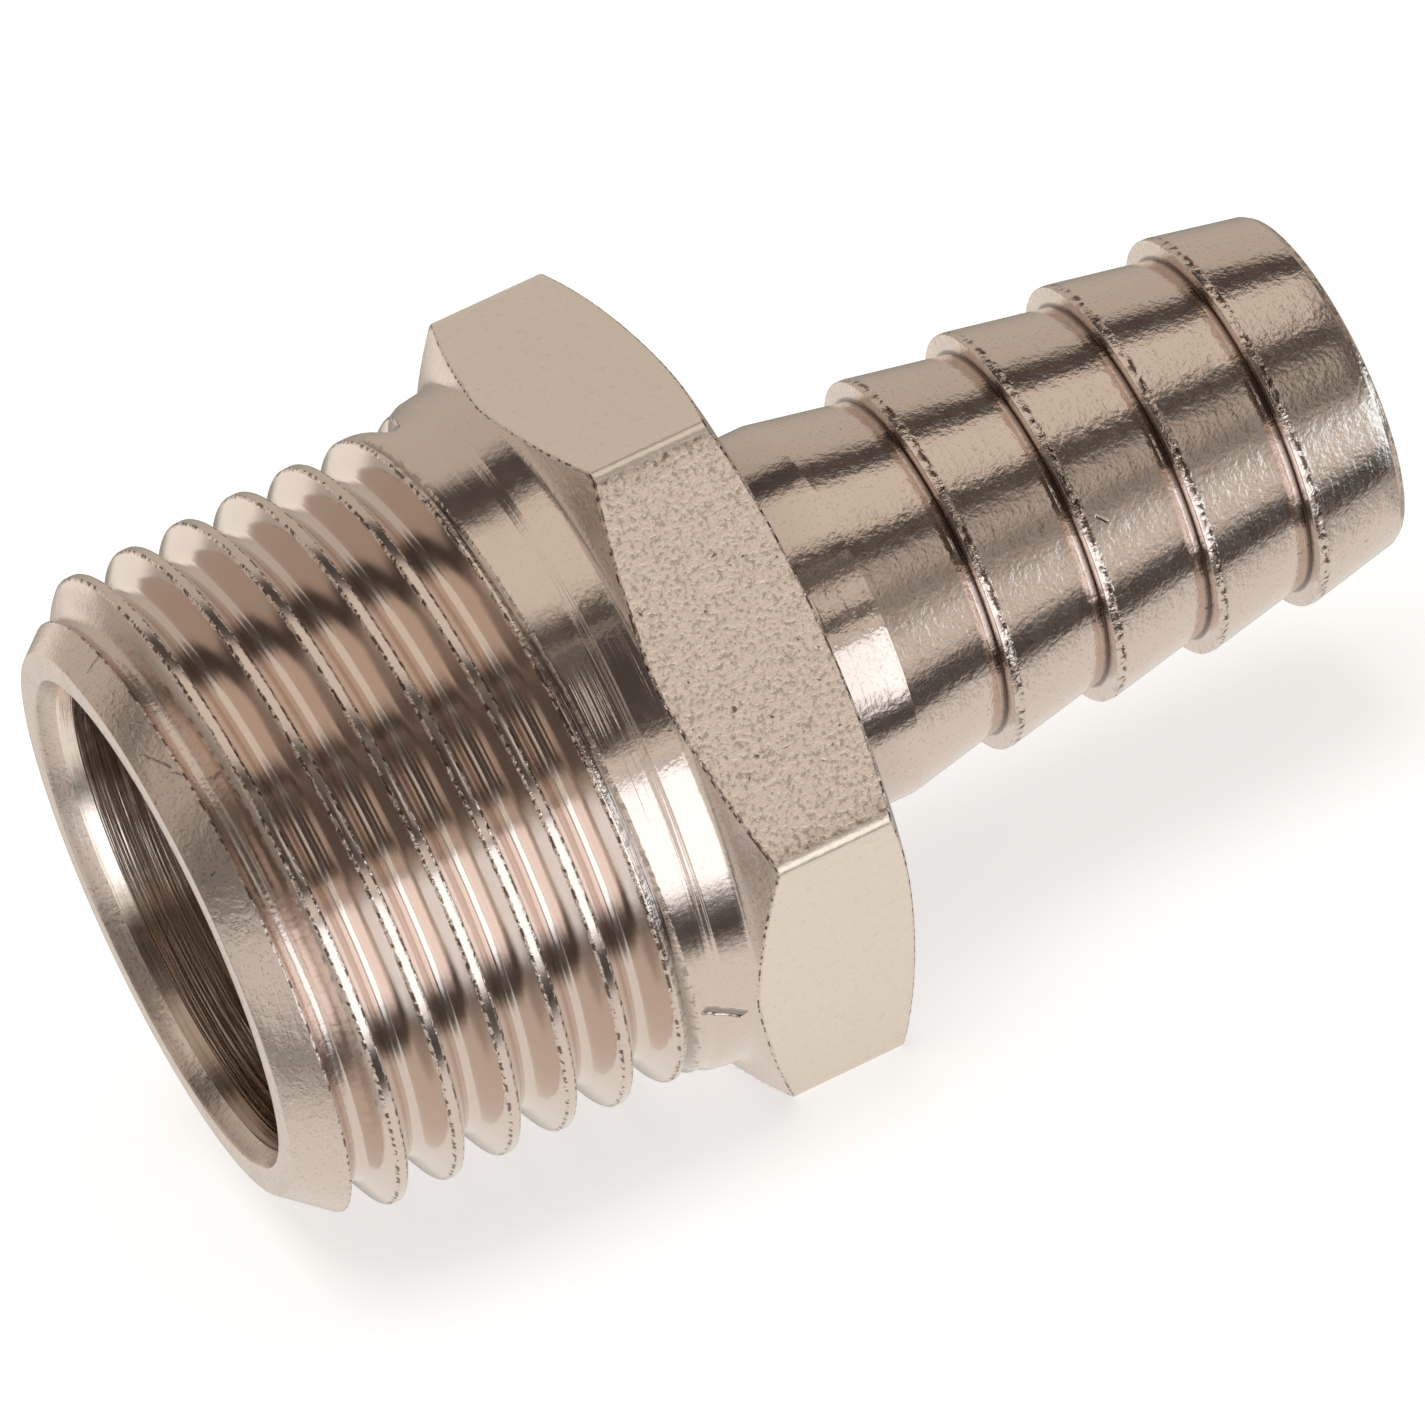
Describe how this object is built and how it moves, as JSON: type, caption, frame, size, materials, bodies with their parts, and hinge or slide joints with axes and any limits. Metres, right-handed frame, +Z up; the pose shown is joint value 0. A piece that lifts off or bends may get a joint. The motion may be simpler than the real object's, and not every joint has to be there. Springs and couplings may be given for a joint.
{
  "type": "hose barb tail",
  "caption": "Turned hose tail with a male taper pipe thread at one end, a spanner hexagon, a serrated barb for a hose at the other end, and a passage right through.",
  "frame": {"origin": "on the surface it lies on, under the middle of its box", "axes": "+X along the passage, from the threaded end to the hose end; +Z up, square to the hexagon flat that it lies on"},
  "size_m": [0.039, 0.0252, 0.0219],
  "materials": {
    "plated_brass": "brass with a thin bright nickel plating, turned surfaces polished, hexagon flats matte and finely pitted"
  },
  "bodies": {
    "root": {"hose_tail": "plated_brass"}
  },
  "joints": []
}
